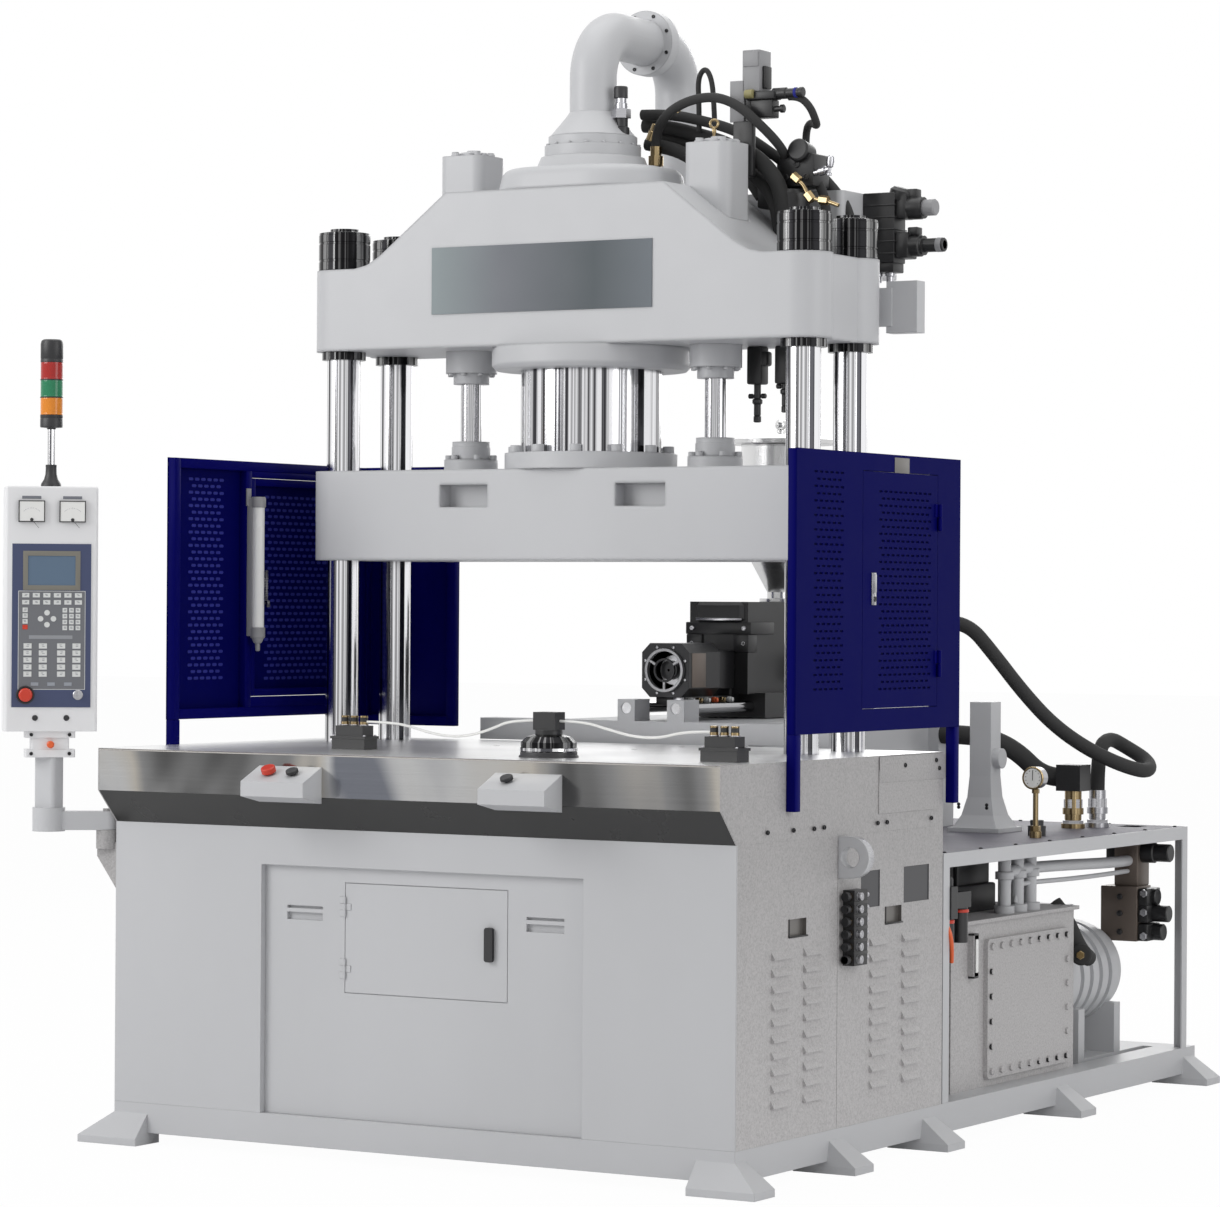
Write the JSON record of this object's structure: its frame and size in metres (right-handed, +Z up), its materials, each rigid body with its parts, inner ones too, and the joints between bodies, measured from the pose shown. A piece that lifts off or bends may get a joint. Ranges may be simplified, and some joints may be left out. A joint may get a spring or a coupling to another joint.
{
  "type": "vertical injection moulding machine",
  "caption": "Column-guided vertical clamp press on a steel cabinet, with a horizontal plastic injection unit behind it, side guards, a swing-arm control panel and a hydraulic power pack.",
  "frame": {"origin": "centre of the bounding box at floor level", "axes": "+X to the operator's right, +Y to the back where the injection unit and power pack are, +Z up"},
  "size_m": [2.5925, 3.5832, 3.5669],
  "materials": {
    "machine_paint": "light grey-white enamel",
    "panel_paint": "warm grey enamel",
    "guard_paint": "dark blue enamel",
    "dark_paint": "satin dark grey",
    "chromed_steel": "hard chromed and polished",
    "stainless_sheet": "polished stainless sheet",
    "cast_machine": "painted casting",
    "bare_iron": "machined",
    "steel": "turned steel",
    "black_steel": "blackened",
    "grey_plastic": "satin plastic",
    "black_plastic": "satin plastic",
    "red_plastic": "gloss plastic",
    "lamp_plastic": "clear coloured plastic",
    "brass": "turned brass",
    "hose_rubber": "smooth rubber",
    "clear_tube": "clear tube"
  },
  "bodies": {
    "frame": {"base_frame": "machine_paint", "bed_frame": "machine_paint", "bed_platen": "bare_iron", "table_cover": "stainless_sheet", "apron_skirt": "dark_paint", "cabinet_front": "machine_paint", "service_panel": "machine_paint", "side_panels_right": "panel_paint", "side_panels_left": "panel_paint", "rear_panel": "panel_paint", "upper_side_covers": "panel_paint", "side_fittings": "machine_paint", "tie_bars": "chromed_steel", "tie_bar_nuts": "black_steel", "top_platen": "cast_machine", "cylinder_covers": "cast_machine", "booster_cylinders": "cast_machine", "prefill_pipe": "machine_paint", "top_oil_tank": "machine_paint", "junction_box": "machine_paint", "top_valves": "black_steel", "right_guard": "guard_paint", "left_guard": "guard_paint", "injection_bed": "machine_paint", "guide_rods": "chromed_steel", "rear_frame": "machine_paint", "tread_plate": "steel", "oil_tank": "machine_paint", "deck_fittings": "brass", "pump_motor": "machine_paint", "rear_valves": "black_steel", "table_devices": "black_steel", "two_hand_boxes": "machine_paint", "rear_hose_1": "hose_rubber", "rear_hose_2": "hose_rubber", "top_hose_1": "hose_rubber", "top_hose_2": "hose_rubber", "air_tube_left": "clear_tube", "air_tube_right": "clear_tube"},
    "platen": {"moving_platen": "cast_machine", "rams": "chromed_steel"},
    "service_door": {"access_door": "machine_paint"},
    "door_latch": {"access_latch": "black_plastic"},
    "right_door": {"right_guard_door": "guard_paint"},
    "left_door": {"left_guard_door": "guard_paint"},
    "arm": {"swing_arm": "machine_paint"},
    "panel": {"control_panel": "machine_paint", "signal_tower": "lamp_plastic"},
    "panel_stop": {"panel_stop_button": "red_plastic"},
    "panel_key": {"panel_key_switch": "steel"},
    "left_stop": {"left_stop_button": "red_plastic"},
    "left_start": {"left_start_button": "black_plastic"},
    "right_start": {"right_start_button": "black_plastic"},
    "carriage": {"injection_carriage": "black_steel", "barrel": "steel", "barrel_cover": "dark_paint", "hopper": "stainless_sheet"},
    "lid": {"hopper_lid": "stainless_sheet"},
    "drive": {"screw_drive": "black_steel"},
    "screw_body": {"screw": "chromed_steel"}
  },
  "joints": [
    {"name": "platen_travel", "type": "slide", "parent": "frame", "child": "platen", "axis": [0, 0, 1], "range_m": [-0.38, 0.12]},
    {"name": "access_door_hinge", "type": "hinge", "parent": "frame", "child": "service_door", "pos_m": [-0.13873, -1.53985, 0.662], "axis": [0, 0, 1], "range_deg": [-110, 0]},
    {"name": "access_latch_turn", "type": "hinge", "parent": "service_door", "child": "door_latch", "pos_m": [0.36925, -1.53635, 0.665], "axis": [0, 1, 0], "range_deg": [0, 90]},
    {"name": "right_door_hinge", "type": "hinge", "parent": "frame", "child": "right_door", "pos_m": [1.23375, -0.34735, 1.705], "axis": [0, 0, 1], "range_deg": [0, 110]},
    {"name": "left_door_hinge", "type": "hinge", "parent": "frame", "child": "left_door", "pos_m": [-1.01125, -0.34735, 1.705], "axis": [0, 0, 1], "range_deg": [-110, 0]},
    {"name": "arm_swing", "type": "hinge", "parent": "frame", "child": "arm", "pos_m": [-1.01575, -1.54835, 0.983], "axis": [0, 0, 1], "range_deg": [-70, 40]},
    {"name": "panel_swivel", "type": "hinge", "parent": "arm", "child": "panel", "pos_m": [-1.15675, -1.65835, 1.194], "axis": [0, 0, 1], "range_deg": [-90, 90]},
    {"name": "panel_stop_press", "type": "slide", "parent": "panel", "child": "panel_stop", "axis": [-0.6691, 0.7431, 0], "range_m": [0, 0.005], "stiffness_N_per_m": 2000, "springref_m": -0.002},
    {"name": "panel_key_turn", "type": "hinge", "parent": "panel", "child": "panel_key", "pos_m": [-1.05533, -1.64844, 1.37], "axis": [0.6691, -0.7431, 0], "range_deg": [0, 90]},
    {"name": "left_stop_press", "type": "slide", "parent": "frame", "child": "left_stop", "axis": [0, 0.4131, -0.9107], "range_m": [0, 0.005], "stiffness_N_per_m": 2000, "springref_m": -0.002},
    {"name": "left_start_press", "type": "slide", "parent": "frame", "child": "left_start", "axis": [0, 0.4131, -0.9107], "range_m": [0, 0.005], "stiffness_N_per_m": 2000, "springref_m": -0.002},
    {"name": "right_start_press", "type": "slide", "parent": "frame", "child": "right_start", "axis": [0, 0.4131, -0.9107], "range_m": [0, 0.005], "stiffness_N_per_m": 2000, "springref_m": -0.002},
    {"name": "injection_travel", "type": "slide", "parent": "frame", "child": "carriage", "axis": [0, 1, 0], "range_m": [-0.2, 0.05]},
    {"name": "hopper_lid_lift", "type": "slide", "parent": "carriage", "child": "lid", "axis": [0, 0, 1], "range_m": [0, 0.15]},
    {"name": "screw_stroke", "type": "slide", "parent": "carriage", "child": "drive", "axis": [0, 1, 0], "range_m": [0, 0.2]},
    {"name": "screw_spin", "type": "hinge", "parent": "drive", "child": "screw_body", "pos_m": [0.11125, 0.88165, 1.444], "axis": [0, 1, 0], "continuous": true}
  ]
}
